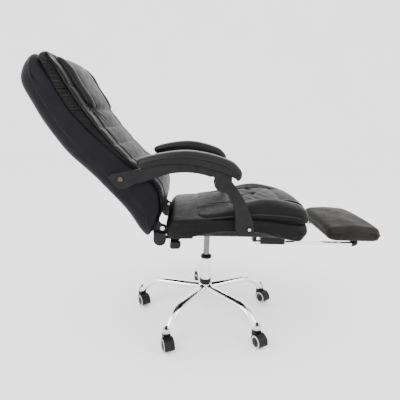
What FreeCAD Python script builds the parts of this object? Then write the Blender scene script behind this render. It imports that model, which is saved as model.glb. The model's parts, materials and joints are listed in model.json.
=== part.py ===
import FreeCAD, Part

import math
import os

import Sketcher
from FreeCAD import Placement, Rotation, Vector

# Reclining office chair with a slide-out footrest, in millimetres.
# The origin is on the floor under the column. +X is the chair's front, +Y the sitter's left, +Z up.
# The solids stand as the chair is used fully reclined: back down on its stop, footrest out.

# Driving dimensions
SIZES = [
    ("stem_circle", 329.0),
    ("base_turn", 22.65),
    ("leg_level", 142.0),
    ("leg_root", 24.0),
    ("leg_bend_start", 210.0),
    ("leg_bend", 127.0),
    ("leg_bend_angle", 62.0),
    ("leg_half_width", 22.0),
    ("leg_half_height", 15.5),
    ("hub_radius", 34.0),
    ("hub_bottom", 116.0),
    ("hub_top", 164.0),
    ("socket_radius", 14.0),
    ("socket_bottom", 70.0),
    ("socket_top", 92.0),
    ("tube_radius", 24.5),
    ("tube_wall", 2.0),
    ("tube_bottom", 104.0),
    ("tube_top", 293.5),
    ("ring_radius", 27.5),
    ("ring_top", 185.0),
    ("collar_radius", 26.0),
    ("collar_top", 309.0),
    ("piston_radius", 14.0),
    ("piston_bottom", 206.0),
    ("piston_top", 454.0),
    ("slide_gap", 0.05),
    ("wheel_radius", 27.0),
    ("wheel_width", 16.0),
    ("web_half", 5.0),
    ("wheel_gap", 0.6),
    ("trail", 22.0),
    ("hood_radius", 31.5),
    ("hood_wall", 2.8),
    ("hood_top", 65.0),
    ("boss_half", 13.0),
    ("stem_radius", 5.5),
    ("stem_top", 100.0),
    ("axle_radius", 3.0),
    ("caster_play", 0.2),
    ("board_bottom", 470.0),
    ("board_thick", 12.0),
    ("board_rear", 145.0),
    ("board_front", 345.0),
    ("board_half", 200.0),
    ("plate_thick", 4.0),
    ("hinge_x", 195.0),
    ("hinge_z", 505.0),
    ("hinge_pin_radius", 6.0),
    ("ear_inner", 199.0),
    ("ear_thick", 6.0),
    ("ear_gap", 0.5),
    ("strut_foot_x", 146.0),
    ("strut_foot_z", 531.0),
    ("knuckle_x", 35.0),
    ("knuckle_z", 715.0),
    ("knuckle_radius", 34.0),
    ("strut_inner", 268.0),
    ("strut_thick", 22.0),
    ("arm_bolt_x", 348.0),
    ("arm_bolt_z", 713.0),
    ("arm_inner", 272.0),
    ("arm_outer", 316.0),
    ("arm_eye_inner", 256.0),
    ("arm_eye_outer", 266.0),
    ("arm_middle", 294.0),
    ("bolt_radius", 5.0),
    ("linkage_play", 1.2),
    ("foot_tube_radius", 9.0),
    ("foot_tube_z", 430.0),
    ("foot_bar_x", 655.0),
    ("foot_half", 150.0),
    ("foot_rear_x", 198.0),
    ("foot_corner", 32.0),
    ("foot_pad_bottom", 460.0),
    ("guide_front", 327.0),
    ("guide_rear", 222.0),
    ("guide_bottom", 426.0),
    ("lever_x", 146.0),
    ("lever_z", 434.0),
    ("lever_rod_radius", 5.0),
    ("lift_lever_x", 30.0),
    ("lift_lever_y", 30.0),
    ("lift_lever_z", 447.0),
    ("lift_lever_end", 214.0),
]

doc = FreeCAD.newDocument("chair")
sheet = doc.addObject("Spreadsheet::Sheet", "sizes")
parts = []


def fill_sheet():
    for row, (alias, value) in enumerate(SIZES, start=1):
        sheet.set("A%d" % row, alias.replace("_", " "))
        sheet.set("B%d" % row, str(value))
        sheet.setAlias("B%d" % row, alias)
    doc.recompute()


def size(alias):
    return float(sheet.get(alias))


# Text such as "{wheel_radius} + 3" is an expression over the sheet's cells.
def formula(text):
    return str(text).replace("{", "sizes.").replace("}", "")


def number(text):
    return float(sheet.evalExpression(formula(text)))


def bind(thing, **texts):
    for name, text in texts.items():
        thing.setExpression(name.replace("__", "."), formula(text))


def keep(thing, label):
    thing.Label = label
    parts.append(thing)
    return thing


# Sketches and bodies


def new_body(label):
    body = doc.addObject("PartDesign::Body", label)
    return keep(body, label)


def origin_feature(body, role):
    return next(item for item in body.Origin.OriginFeatures if item.Role == role)


def new_sketch(body, name, role, offset="0"):
    sketch = body.newObject("Sketcher::SketchObject", name)
    sketch.AttachmentSupport = (origin_feature(body, role), [""])
    sketch.MapMode = "FlatFace"
    bind(sketch, AttachmentOffset__Base__z=offset)
    return sketch


def pin_point(sketch, edge, end, x, y):
    for kind, text, axis in (("DistanceX", x, -2), ("DistanceY", y, -1)):
        value = number(text)
        if abs(value) < 1e-9:
            sketch.addConstraint(Sketcher.Constraint("PointOnObject", edge, end, axis))
        else:
            index = sketch.addConstraint(Sketcher.Constraint(kind, -1, 1, edge, end, value))
            sketch.setExpression("Constraints[%d]" % index, formula(text))


# A closed outline of corners. A corner (x, y) starts a line and (x, y, via_x, via_y) starts an arc through via.
def outline(sketch, corners):
    spots = [Vector(number(corner[0]), number(corner[1]), 0) for corner in corners]
    first = sketch.GeometryCount
    for index, corner in enumerate(corners):
        start = spots[index]
        end = spots[(index + 1) % len(spots)]
        if len(corner) == 2:
            sketch.addGeometry(Part.LineSegment(start, end), False)
            continue
        via = Vector(number(corner[2]), number(corner[3]), 0)
        sketch.addGeometry(Part.Arc(start, via, end), False)
    for index, corner in enumerate(corners):
        edge = first + index
        after = first + (index + 1) % len(corners)
        start = start_point(sketch, edge, spots[index])
        end = 3 - start
        joint = start_point(sketch, after, spots[(index + 1) % len(spots)])
        sketch.addConstraint(Sketcher.Constraint("Coincident", edge, end, after, joint))
        pin_point(sketch, edge, start, corner[0], corner[1])
        if len(corner) == 4:
            pin_middle(sketch, edge, start)


# With both ends held, an arc has one freedom left: how far its middle lies from its start across the chord.
def pin_middle(sketch, edge, start):
    begin = sketch.getPoint(edge, start)
    chord = sketch.getPoint(edge, 3 - start) - begin
    reach = sketch.getPoint(edge, 3) - begin
    kind, value = ("DistanceX", reach.x) if abs(chord.y) > abs(chord.x) else ("DistanceY", reach.y)
    if abs(value) < 1e-9:
        kind = "Vertical" if kind == "DistanceX" else "Horizontal"
        sketch.addConstraint(Sketcher.Constraint(kind, edge, start, edge, 3))
    else:
        sketch.addConstraint(Sketcher.Constraint(kind, edge, start, edge, 3, value))


def start_point(sketch, edge, spot):
    return 1 if sketch.getPoint(edge, 1).distanceToPoint(spot) < 1e-6 else 2


def circle(sketch, x, y, radius):
    middle = Vector(number(x), number(y), 0)
    index = sketch.addGeometry(Part.Circle(middle, Vector(0, 0, 1), number(radius)), False)
    pin_point(sketch, index, 3, x, y)
    constraint = sketch.addConstraint(Sketcher.Constraint("Radius", index, number(radius)))
    sketch.setExpression("Constraints[%d]" % constraint, formula(radius))


def pad(body, name, sketch, length):
    feature = body.newObject("PartDesign::Pad", name)
    feature.Profile = sketch
    bind(feature, Length=length)
    return feature


def pocket(body, name, sketch, length):
    feature = body.newObject("PartDesign::Pocket", name)
    feature.Profile = sketch
    feature.Reversed = True
    bind(feature, Length=length)
    return feature


def revolve(body, name, sketch):
    feature = body.newObject("PartDesign::Revolution", name)
    feature.Profile = sketch
    feature.ReferenceAxis = (sketch, ["V_Axis"])
    feature.Angle = 360
    return feature


# The XZ plane faces -Y, so a plate between two Y values starts its pad at the higher one.
def side_plate(body, name, side, inner, outer, corners, holes=()):
    high = "-(%s)" % inner if side < 0 else outer
    sketch = new_sketch(body, name + "_sketch", "XZ_Plane", "-(%s)" % high)
    outline(sketch, corners)
    for hole in holes:
        circle(sketch, *hole)
    return pad(body, name, sketch, "(%s) - (%s)" % (outer, inner))


# Primitives for pins, rods and simple solids


def cylinder(name, radius, height, place=("0", "0", "0"), turn=None, angle=None):
    solid = doc.addObject("Part::Cylinder", name)
    solid.Placement = Placement(Vector(), turn or Rotation())
    bind(solid, Radius=radius, Height=height)
    bind(solid, Placement__Base__x=place[0], Placement__Base__y=place[1], Placement__Base__z=place[2])
    if angle is not None:
        solid.Angle = angle
    return solid


def box(name, low, high):
    solid = doc.addObject("Part::Box", name)
    lengths = ["(%s) - (%s)" % (top, bottom) for bottom, top in zip(low, high)]
    bind(solid, Length=lengths[0], Width=lengths[1], Height=lengths[2])
    bind(solid, Placement__Base__x=low[0], Placement__Base__y=low[1], Placement__Base__z=low[2])
    return solid


def fuse(name, solids):
    joined = doc.addObject("Part::MultiFuse", name)
    joined.Shapes = solids
    return joined


def cut(name, base, tools):
    result = doc.addObject("Part::Cut", name)
    result.Base = base
    result.Tool = tools[0] if len(tools) == 1 else fuse(name + "_tools", tools)
    return result


def group(name, solids):
    compound = doc.addObject("Part::Compound", name)
    compound.Links = solids
    return keep(compound, name)


ALONG_Y = Rotation(Vector(1, 0, 0), -90)
ALONG_X = Rotation(Vector(0, 1, 0), 90)


def side_pin(name, x, z, radius, side, inner, outer):
    low = "-(%s)" % outer if side < 0 else inner
    return cylinder(name, radius, "(%s) - (%s)" % (outer, inner), (x, low, z), ALONG_Y)


# Soft forms: closed profiles at stations across the width, lofted into one skin


def closed_wire(spots):
    return Part.makePolygon(spots + spots[:1])


def loft(name, wires):
    form = doc.addObject("Part::Feature", name)
    form.Shape = Part.makeLoft(wires, True, True)
    return form


def mirrored(half_stations):
    return [-y for y in reversed(half_stations[1:])] + half_stations


# How far an edge rounded with this radius has drawn in at y, on a piece of this half width.
def rounding(y, half, radius):
    over = abs(y) - (half - radius)
    return 0.0 if over <= 0 else radius - math.sqrt(max(radius**2 - over**2, 0.0))


def at_y(y, pairs):
    return [Vector(x, y, z) for x, z in pairs]


# Base: hub, five arched legs, sockets and the column


def star_base():
    body = new_body("star_base")
    hub = new_sketch(body, "hub_sketch", "XZ_Plane")
    outline(
        hub,
        [
            ("{tube_radius}", "{hub_bottom}"),
            ("{hub_radius} - 4", "{hub_bottom}"),
            ("{hub_radius}", "{hub_bottom} + 4"),
            ("{hub_radius}", "{hub_top} - 8"),
            ("{hub_radius} - 8", "{hub_top}"),
            ("{tube_radius}", "{hub_top}"),
        ],
    )
    revolve(body, "hub", hub)
    leg = body.newObject("PartDesign::AdditivePipe", "leg")
    leg.Profile = leg_section(body)
    leg.Spine = (leg_path(body), [""])
    leg.Transition = "Right corner"
    doc.recompute()
    sockets = new_sketch(body, "socket_sketch", "XY_Plane", "{socket_bottom}")
    circle(sockets, "{stem_circle}", "0", "{socket_radius}")
    socket = pad(body, "socket", sockets, "{socket_top} - {socket_bottom}")
    holes = new_sketch(body, "stem_hole_sketch", "XY_Plane", "{socket_bottom} - 30")
    circle(holes, "{stem_circle}", "0", "{stem_radius} + {caster_play}")
    hole = pocket(body, "stem_hole", holes, "{stem_top} + 4 - {socket_bottom} + 30")
    bore = new_sketch(body, "bore_sketch", "XY_Plane", "{hub_bottom} - 1")
    circle(bore, "0", "0", "{tube_radius}")
    legs = body.newObject("PartDesign::PolarPattern", "legs")
    legs.Originals = [leg, socket, hole]
    legs.Axis = (origin_feature(body, "Z_Axis"), [""])
    legs.Angle = 360
    legs.Occurrences = 5
    body.Tip = legs
    doc.recompute()
    pocket(body, "column_bore", bore, "{hub_top} + 2 - {hub_bottom}")
    body.Placement.Rotation = Rotation(Vector(0, 0, 1), 0)
    bind(body, Placement__Rotation__Angle="{base_turn}")


# The leg's oval tube: two tight arcs at the sides and two flat ones above and below.
def leg_section(body):
    sketch = new_sketch(body, "leg_section", "YZ_Plane", "{leg_root}")
    side = "{leg_half_width} * 0.62"
    low = "{leg_level} - {leg_half_height} * 0.82"
    high = "{leg_level} + {leg_half_height} * 0.82"
    outline(
        sketch,
        [
            (side, low, "{leg_half_width}", "{leg_level}"),
            (side, high, "0", "{leg_level} + {leg_half_height}"),
            ("-" + side, high, "-{leg_half_width}", "{leg_level}"),
            ("-" + side, low, "0", "{leg_level} - {leg_half_height}"),
        ],
    )
    return sketch


# The tube runs level, then turns down in short straight steps.
def leg_path(body, steps=5):
    start = size("leg_bend_start")
    bend = size("leg_bend")
    spots = [Vector(size("leg_root"), size("leg_level"), 0)]
    for step in range(steps + 1):
        angle = math.radians(size("leg_bend_angle")) * step / steps
        x = start + bend * math.sin(angle)
        spots.append(Vector(x, size("leg_level") - bend * (1 - math.cos(angle)), 0))
    path = new_sketch(body, "leg_path", "XZ_Plane")
    for begin, end in zip(spots, spots[1:]):
        path.addGeometry(Part.LineSegment(begin, end), False)
    for index in range(len(spots) - 2):
        path.addConstraint(Sketcher.Constraint("Coincident", index, 2, index + 1, 1))
    return path


def column():
    body = new_body("gas_lift_tube")
    wall = new_sketch(body, "tube_sketch", "XZ_Plane")
    outline(
        wall,
        [
            ("0", "{tube_bottom}"),
            ("{tube_radius} - 3", "{tube_bottom}"),
            ("{tube_radius}", "{tube_bottom} + 3"),
            ("{tube_radius}", "{tube_top}"),
            ("{tube_radius} - {tube_wall}", "{tube_top}"),
            ("{tube_radius} - {tube_wall}", "{tube_bottom} + 5"),
            ("0", "{tube_bottom} + 5"),
        ],
    )
    revolve(body, "tube", wall)
    lower = washer("lower_ring", "{tube_radius}", "{ring_radius}", "{hub_top}", "{ring_top}", 0)
    upper = washer(
        "collar", "{piston_radius} + {slide_gap}", "{collar_radius}", "{tube_top}", "{collar_top}", 6
    )
    group("gas_lift_rings", [lower, upper])
    piston = new_body("gas_lift_piston")
    rod = new_sketch(piston, "piston_sketch", "XZ_Plane")
    outline(
        rod,
        [
            ("0", "{piston_bottom}"),
            ("{tube_radius} - {tube_wall} - 1", "{piston_bottom}"),
            ("{tube_radius} - {tube_wall} - 1", "{piston_bottom} + 14"),
            ("{piston_radius}", "{piston_bottom} + 14"),
            ("{piston_radius}", "{piston_top} - 22"),
            ("{piston_radius} - 2", "{piston_top}"),
            ("5", "{piston_top}"),
            ("5", "{piston_top} + 6"),
            ("0", "{piston_top} + 6"),
        ],
    )
    revolve(piston, "piston", rod)


def washer(label, inner, outer, bottom, top, chamfer):
    body = doc.addObject("PartDesign::Body", label)
    section = new_sketch(body, label + "_sketch", "XZ_Plane")
    corners = [(inner, bottom), (outer, bottom), (outer, "%s - %d" % (top, chamfer))]
    if chamfer:
        corners.append(("%s - %d" % (outer, chamfer), top))
    outline(section, corners + [(inner, top)])
    revolve(body, label + "_turned", section)
    return body


# Casters: a hood with its stem and axle, and two wheels, on each leg

CASTER_HEADINGS = [-55.0, -62.0, -58.0, -69.0, -63.0]


def caster(number_of, heading):
    def named(word):
        return "%s_%d" % (word, number_of)

    leg_turn = math.radians(size("base_turn") + 72 * (number_of - 1))
    reach = size("stem_circle")
    spot = Vector(reach * math.cos(leg_turn), reach * math.sin(leg_turn), 0)
    place = Placement(spot, Rotation(Vector(0, 0, 1), heading))
    side = "({web_half} + {wheel_gap} + {wheel_width})"
    arch = cylinder(
        named("arch"),
        "{hood_radius}",
        "2 * " + side,
        ("{trail}", side, "{wheel_radius}"),
        Rotation(Vector(1, 0, 0), 90) * Rotation(Vector(0, 0, 1), -18),
        200,
    )
    cavity = "{hood_radius} - {hood_wall}"
    near = cylinder(
        named("near"), cavity, "20", ("{trail}", "-{web_half} - 20", "{wheel_radius}"), ALONG_Y
    )
    far = cylinder(named("far"), cavity, "20", ("{trail}", "{web_half}", "{wheel_radius}"), ALONG_Y)
    shell = cut(named("hood_shell"), arch, [near, far])
    hub = box(
        named("hub"),
        ("{trail} - 8", "-{web_half}", "{wheel_radius} - 8"),
        ("{trail} + 8", "{web_half}", "{wheel_radius} + 8"),
    )
    neck = box(
        named("neck"),
        ("-{boss_half}", "-{boss_half} - 3", "{hood_top} - 24"),
        ("{boss_half}", "{boss_half} + 3", "{hood_top}"),
    )
    stem = cylinder(
        named("stem"), "{stem_radius}", "{stem_top} - {hood_top} + 2", ("0", "0", "{hood_top} - 2")
    )
    reach = "(%s - 1)" % side
    axle = cylinder(
        named("axle"), "{axle_radius}", "2 * " + reach, ("{trail}", "-" + reach, "{wheel_radius}"), ALONG_Y
    )
    clear = cylinder(
        named("clear"), "{hood_radius} - {hood_wall}", "2 * " + side,
        ("{trail}", "-" + side, "{wheel_radius}"), ALONG_Y
    )
    collar = cut(named("neck_trimmed"), neck, [clear])
    hood = fuse(named("hood"), [shell, hub, collar, stem, axle])
    keep(hood, named("caster_hood")).Placement = place
    for word, way in (("left", 1), ("right", -1)):
        caster_wheel(named("caster_wheel_" + word), place, way)


# The wheel is turned about its own Z, then laid on its axle with its dished face outwards.
def caster_wheel(label, place, way):
    body = new_body(label)
    section = new_sketch(body, label + "_sketch", "XZ_Plane")
    outline(
        section,
        [
            ("{axle_radius} + {caster_play}", "0"),
            ("{wheel_radius}", "0"),
            ("{wheel_radius}", "{wheel_width}"),
            ("{axle_radius} + {caster_play}", "{wheel_width}"),
        ],
    )
    revolve(body, label + "_turned", section)
    laid = Rotation(Vector(1, 0, 0), -90 * way)
    gap = (size("web_half") + size("wheel_gap")) * way
    body.Placement = place * Placement(Vector(size("trail"), gap, size("wheel_radius")), laid)


# Seat: tilt mechanism, board, hinge plates and footrest guides


def tilt_mechanism():
    top = "{board_bottom}"
    plate = box("tilt_plate", ("-95", "-75", top + " - {plate_thick}"), ("115", "75", top))
    case = doc.addObject("Part::Loft", "tilt_case")
    lower = rectangle_wire("tilt_lower", -48, 62, -42, 42, number("{piston_top} - 30"))
    upper = rectangle_wire("tilt_upper", -80, 98, -58, 58, number(top + " - {plate_thick}"))
    case.Sections = [lower, upper]
    case.Solid = True
    case.Ruled = True
    socket = cylinder("tilt_socket", "{piston_radius} + 9", "{board_bottom} - 418", ("0", "0", "418"))
    taper = cylinder("tilt_bore", "{piston_radius} + {slide_gap}", "{piston_top} + 0.3 - 400", ("0", "0", "400"))
    button = cylinder("button_well", "6", "20", ("0", "0", "{piston_top} - 1"))
    slot = box(
        "lever_slot",
        ("{lift_lever_x} - 8", "{lift_lever_y} - 12", "{lift_lever_z} - 7"),
        ("{lift_lever_x} + 8", "70", "{lift_lever_z} + 11"),
    )
    pivot = cylinder(
        "lever_pivot_bore",
        "3 + {slide_gap}",
        "36",
        ("{lift_lever_x} - 18", "{lift_lever_y}", "{lift_lever_z}"),
        ALONG_X,
    )
    body = fuse("tilt_solid", [plate, case, socket])
    keep(cut("tilt_mechanism", body, [taper, button, slot, pivot]), "tilt_mechanism")
    heads = []
    for x in (-86, 106):
        for y in (-64, 64):
            name = "tilt_screw_%d_%d" % (x + 100, y + 100)
            heads.append(
                cylinder(name, "6", "5", (str(x), str(y), "{board_bottom} - {plate_thick} - 5"))
            )
    group("mechanism_screws", heads)


def rectangle_wire(name, x0, x1, y0, y1, z):
    wire = doc.addObject("Part::Feature", name)
    spots = [Vector(x0, y0, z), Vector(x1, y0, z), Vector(x1, y1, z), Vector(x0, y1, z), Vector(x0, y0, z)]
    wire.Shape = Part.makePolygon(spots)
    return wire


def height_lever():
    rod = cylinder(
        "height_rod",
        "4",
        "{lift_lever_end} - {lift_lever_y} + 6",
        ("{lift_lever_x}", "{lift_lever_y} - 6", "{lift_lever_z}"),
        ALONG_Y,
    )
    pivot = cylinder(
        "height_pivot", "3", "34", ("{lift_lever_x} - 17", "{lift_lever_y}", "{lift_lever_z}"), ALONG_X
    )
    keep(fuse("height_lever", [rod, pivot]), "height_lever")
    body = new_body("height_lever_grip")
    paddle = new_sketch(body, "paddle_sketch", "XY_Plane", "{lift_lever_z} - 6")
    outline(
        paddle,
        [
            ("{lift_lever_x} - 8", "{lift_lever_end}"),
            ("{lift_lever_x} + 8", "{lift_lever_end}"),
            ("{lift_lever_x} + 16", "{lift_lever_end} + 18"),
            ("{lift_lever_x} + 16", "{lift_lever_end} + 54", "{lift_lever_x}", "{lift_lever_end} + 70"),
            ("{lift_lever_x} - 16", "{lift_lever_end} + 54"),
            ("{lift_lever_x} - 16", "{lift_lever_end} + 18"),
        ],
    )
    pad(body, "paddle", paddle, "12")


def seat_board():
    board = box(
        "seat_board",
        ("-{board_rear}", "-{board_half}", "{board_bottom}"),
        ("{board_front}", "{board_half}", "{board_bottom} + {board_thick}"),
    )
    keep(board, "seat_board")


def seat_hinge_plates():
    plates = []
    for side, word in ((-1, "right"), (1, "left")):
        body = doc.addObject("PartDesign::Body", "seat_hinge_" + word)
        side_plate(
            body,
            "seat_ear_" + word,
            side,
            "{ear_inner}",
            "{ear_inner} + {ear_thick}",
            [
                ("-70", "{board_bottom} - 0.3"),
                ("-{hinge_x} + 15", "{board_bottom} - 0.3"),
                ("-{hinge_x} + 15", "{hinge_z}", "-{hinge_x}", "{hinge_z} + 15"),
                ("-{hinge_x} - 15", "{hinge_z}"),
                ("-{hinge_x} - 15", "468"),
                ("-{hinge_x} + 2", "458"),
                ("-{lever_x} - 16", "456"),
                ("-{lever_x} - 12", "{lever_z}", "-{lever_x}", "{lever_z} - 12"),
                ("-{lever_x} + 12", "{lever_z}"),
                ("-{lever_x} + 22", "457"),
                ("-70", "459"),
            ],
            [
                ("-{hinge_x}", "{hinge_z}", "{hinge_pin_radius}"),
                ("-{lever_x}", "{lever_z}", "{lever_rod_radius} + {slide_gap}"),
            ],
        )
        plates.append(body)
    group("seat_hinge_plates", plates)
    pins = []
    for side, word in ((-1, "right"), (1, "left")):
        outer = "{ear_inner} + 2 * {ear_thick} + {ear_gap}"
        pins.append(
            side_pin("hinge_pin_" + word, "-{hinge_x}", "{hinge_z}", "{hinge_pin_radius}", side,
                     "{ear_inner} - 3", outer + " + 1")
        )
        pins.append(
            side_pin("hinge_head_" + word, "-{hinge_x}", "{hinge_z}", "9", side,
                     outer + " + 1", outer + " + 6")
        )
    merged = [fuse("hinge_pin_solid_right", pins[0:2]), fuse("hinge_pin_solid_left", pins[2:4])]
    group("hinge_pins", merged)


def recline_lever():
    rod = cylinder(
        "recline_rod", "{lever_rod_radius}", "434", ("-{lever_x}", "-230", "{lever_z}"), ALONG_Y
    )
    keep(rod, "recline_rod")
    body = doc.addObject("PartDesign::Body", "lever_handle")
    side_plate(
        body,
        "lever_knob",
        -1,
        "207",
        "233",
        [
            ("-{lever_x} - 16", "{lever_z} + 19"),
            ("-{lever_x} - 17", "{lever_z} + 2", "-{lever_x} - 14", "{lever_z} - 8"),
            ("-{lever_x} - 4", "{lever_z} - 11"),
            ("-{lever_x} + 18", "{lever_z} - 10", "-{lever_x} + 26", "{lever_z} - 1"),
            ("-{lever_x} + 25", "{lever_z} + 15"),
            ("-{lever_x} + 6", "{lever_z} + 17"),
        ],
    )
    hole = cylinder(
        "lever_hole", "{lever_rod_radius}", "23", ("-{lever_x}", "-230", "{lever_z}"), ALONG_Y
    )
    keep(cut("recline_lever", body, [hole]), "recline_lever")


# Channels that grip the rails over more than half their round and stay open below.
def footrest_guides():
    for side, word in ((-1, "right"), (1, "left")):
        middle = "%d * {foot_half}" % side
        low = middle + " - 15"
        high = middle + " + 15"
        blocks = [
            box("guide_block_" + word, ("{guide_rear}", low, "{guide_bottom}"), ("{guide_front}", high, "468")),
            box("guide_foot_" + word, ("{guide_rear} - 34", low, "{guide_bottom} + 10"),
                ("{guide_rear} - 18", high, "468")),
            box("guide_plate_" + word, ("{guide_rear} - 40", low + " - 9", "466"),
                ("{guide_front} + 8", high + " + 9", "470")),
        ]
        bore = cylinder(
            "guide_bore_" + word,
            "{foot_tube_radius} + 0.3",
            "200",
            ("{guide_rear} - 50", middle, "{foot_tube_z}"),
            ALONG_X,
        )
        solid = fuse("guide_solid_" + word, blocks)
        keep(cut("footrest_guide_" + word, solid, [bore]), "footrest_guide_" + word)


def strut_bolts():
    bolts = []
    for side, word in ((-1, "right"), (1, "left")):
        outer = "{strut_inner} + {strut_thick} + 0.5"
        shank = side_pin("strut_shank_" + word, "{strut_foot_x}", "{strut_foot_z}", "{bolt_radius}",
                         side, "236", outer)
        spacer = side_pin("strut_spacer_" + word, "{strut_foot_x}", "{strut_foot_z}", "11",
                          side, "262.5", "{strut_inner} - 0.5")
        head = side_pin("strut_head_" + word, "{strut_foot_x}", "{strut_foot_z}", "8", side, outer,
                        outer + " + 5")
        bolts.append(fuse("strut_bolt_" + word, [shank, spacer, head]))
    group("strut_bolts", bolts)
    return [
        side_pin("strut_hole_" + word, "{strut_foot_x}", "{strut_foot_z}", "{bolt_radius}", side,
                 "236", "275")
        for side, word in ((-1, "right"), (1, "left"))
    ]


# Seat upholstery


SEAT_HALF = 262.0
PAD_HALF = 245.0


def seat_top(y):
    return 585 - 26 * (y / SEAT_HALF) ** 2 - 0.7 * rounding(y, SEAT_HALF, 30)


# The underside arches up along the two sides, where the board no longer carries it.
def seat_profile(y):
    corner = rounding(y, SEAT_HALF, 46)
    roll = rounding(y, SEAT_HALF, 30)
    low = size("board_bottom")
    arch = 38 * max(0.0, min(1.0, (abs(y) - 200) / 45))
    top = seat_top(y)
    spots = [
        (-164 + corner, low),
        (100, low + arch),
        (374 - corner, low + 2),
        (391 - corner, low + 34),
        (397 - corner, 541 - roll),
        (394 - corner, 552 - roll),
        (382 - corner, 557 - roll),
        (130, top),
        (-138 + corner, top - 14),
        (-168 + corner, top - 30),
        (-180 + corner, top - 55 + 0.5 * roll),
        (-178 + corner, low + 20),
    ]
    return closed_wire(at_y(y, spots))


def seat_cushion(holes):
    wires = [seat_profile(y) for y in mirrored([0, 110, 200, 235, 252, 260])]
    form = loft("seat_form", wires)
    recess = box(
        "board_recess",
        ("-{board_rear}", "-{board_half}", "{board_bottom} - 10"),
        ("{board_front}", "{board_half}", "{board_bottom} + {board_thick}"),
    )
    keep(cut("seat_cushion", form, [recess] + holes), "seat_cushion")
    return form


# Two bolsters along the sides stand above a shallow middle panel, and the front rolls over.
def pad_profile(y):
    corner = rounding(y, PAD_HALF, 62)
    roll = rounding(y, PAD_HALF, 34)
    apart = max(-1.0, min(1.0, (abs(y) - 185) / 85))
    bolster = 0.5 + 0.5 * math.cos(math.pi * apart)
    top = seat_top(y)
    spots = [
        (-50 + corner, top - 16),
        (150, top - 9),
        (396 - corner, 551 - 0.6 * roll),
        (405 - corner, 574 - 0.6 * roll),
        (395 - corner, 594 - 0.6 * roll),
        (372 - corner, 606 + 8 * bolster - 0.8 * roll),
        (325 - 0.7 * corner, 611 + 17 * bolster - roll),
        (230, 615 + 26 * bolster - roll),
        (120, 604 + 16 * bolster - roll),
        (40, 592 + 6 * bolster - 0.7 * roll),
        (-40 + corner, 580 - 0.3 * roll),
        (-52 + corner, 575 - 0.3 * roll),
    ]
    return closed_wire(at_y(y, spots))


def seat_top_pad(seat_form):
    wires = [pad_profile(y) for y in mirrored([0, 60, 125, 185, 215, 235, 244])]
    keep(cut("seat_top_pad", loft("pad_form", wires), [seat_form]), "seat_top_pad")


# Back: side outlines of the shell's front and rear, each from the bottom to the top.

SHELL_FRONT = [(-215, 534), (-197, 604), (-225, 694), (-330, 772), (-445, 874), (-545, 983), (-622, 1122)]
SHELL_REAR = [(-266, 476), (-331, 565), (-407, 655), (-500, 747), (-592, 838), (-671, 961), (-716, 1066)]
BACK_HALF = 250.0

# The cushion's seams in the middle of its width, with how far the padding swells between each two.
CUSHION_SEAMS = [(-203, 545), (-184, 652), (-240, 727), (-306, 775), (-358, 834), (-408, 898), (-455, 966)]
CUSHION_TOP = [(-508, 1048), (-560, 1124)]
CUSHION_SWELL = [10, 10, 5, 6, 6, 6, 4, 5]


def curve_through(points):
    curve = Part.BSplineCurve()
    curve.interpolate([Vector(x, 0, z) for x, z in points])
    return curve


def along(curve, share):
    return curve.value(curve.FirstParameter + share * (curve.LastParameter - curve.FirstParameter))


def blend(first, second, share):
    return first + (second - first) * share


def shifted(spots, y):
    return [Vector(spot.x, y, spot.z) for spot in spots]


def shell_profile(y, front_curve, rear_curve):
    edge = rounding(y, BACK_HALF, 50) / 50
    low = rounding(y, BACK_HALF, 45) / 850
    high = 1 - rounding(y, BACK_HALF, 90) / 850
    levels = [low + (high - low) * step / 6 for step in range(7)]
    front = [along(front_curve, level) for level in levels]
    rear = [along(rear_curve, level) for level in levels]
    rear = [blend(back, ahead, 0.42 * edge) for back, ahead in zip(rear, front)]
    upward = (rear[-1] - rear[-2]).normalize()
    crest = blend(rear[-1], front[-1], 0.5) + upward * (50 - 22 * edge)
    foot = blend(rear[0], front[0], 0.5) - upward * (6 - 4 * edge)
    return closed_wire(shifted(rear + [crest] + front[::-1] + [foot], y))


def back_shell(tools):
    front_curve = curve_through(SHELL_FRONT)
    rear_curve = curve_through(SHELL_REAR)
    stations = mirrored([0, 90, 160, 200, 225, 241, 249])
    form = loft("shell_form", [shell_profile(y, front_curve, rear_curve) for y in stations])
    keep(cut("back_shell", form, tools), "back_shell")
    return form


# A via stands off the middle of its chord, to the left of the way from start to end.
def swell(start, end, amount):
    chord = end - start
    return blend(start, end, 0.5) + Vector(chord.z, 0, -chord.x).normalize() * amount


def cushion_profile(y, curve, seams, swells):
    height = 1 - 0.3 * (y / BACK_HALF) ** 2 - 0.65 * rounding(y, BACK_HALF - 1, 22) / 22
    corner = rounding(y, BACK_HALF, 80) / 850
    top = seams[-1]
    ends = [Vector(x, 0, z) for x, z in seams]
    front = [ends[0]]
    for start, end, amount in zip(ends, ends[1:], swells):
        front += [swell(start, end, amount), end]
    feet = [curve.value(curve.parameter(spot)) for spot in front]
    lift = [blend(foot, spot, height) for foot, spot in zip(feet, front)]
    drop = (lift[-1] - lift[-3]).normalize() * corner * 700
    lift[-1] = lift[-1] - drop
    lift[-2] = lift[-2] - drop * 0.6
    low = curve.parameter(feet[0])
    high = curve.parameter(feet[-1]) + (0.06 - corner * 0.9) * (curve.LastParameter - curve.FirstParameter)
    inward = Vector(-0.65, 0, -0.75) * 4
    rear = [curve.value(high + (low - high) * step / 6) + inward for step in range(7)]
    crown = blend(lift[-1], rear[0], 0.5) + (lift[-1] - lift[-3]).normalize() * 10
    foot = blend(rear[-1], lift[0], 0.5) + Vector(0, 0, -3)
    return closed_wire(shifted(lift + [crown] + rear + [foot], y))


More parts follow.
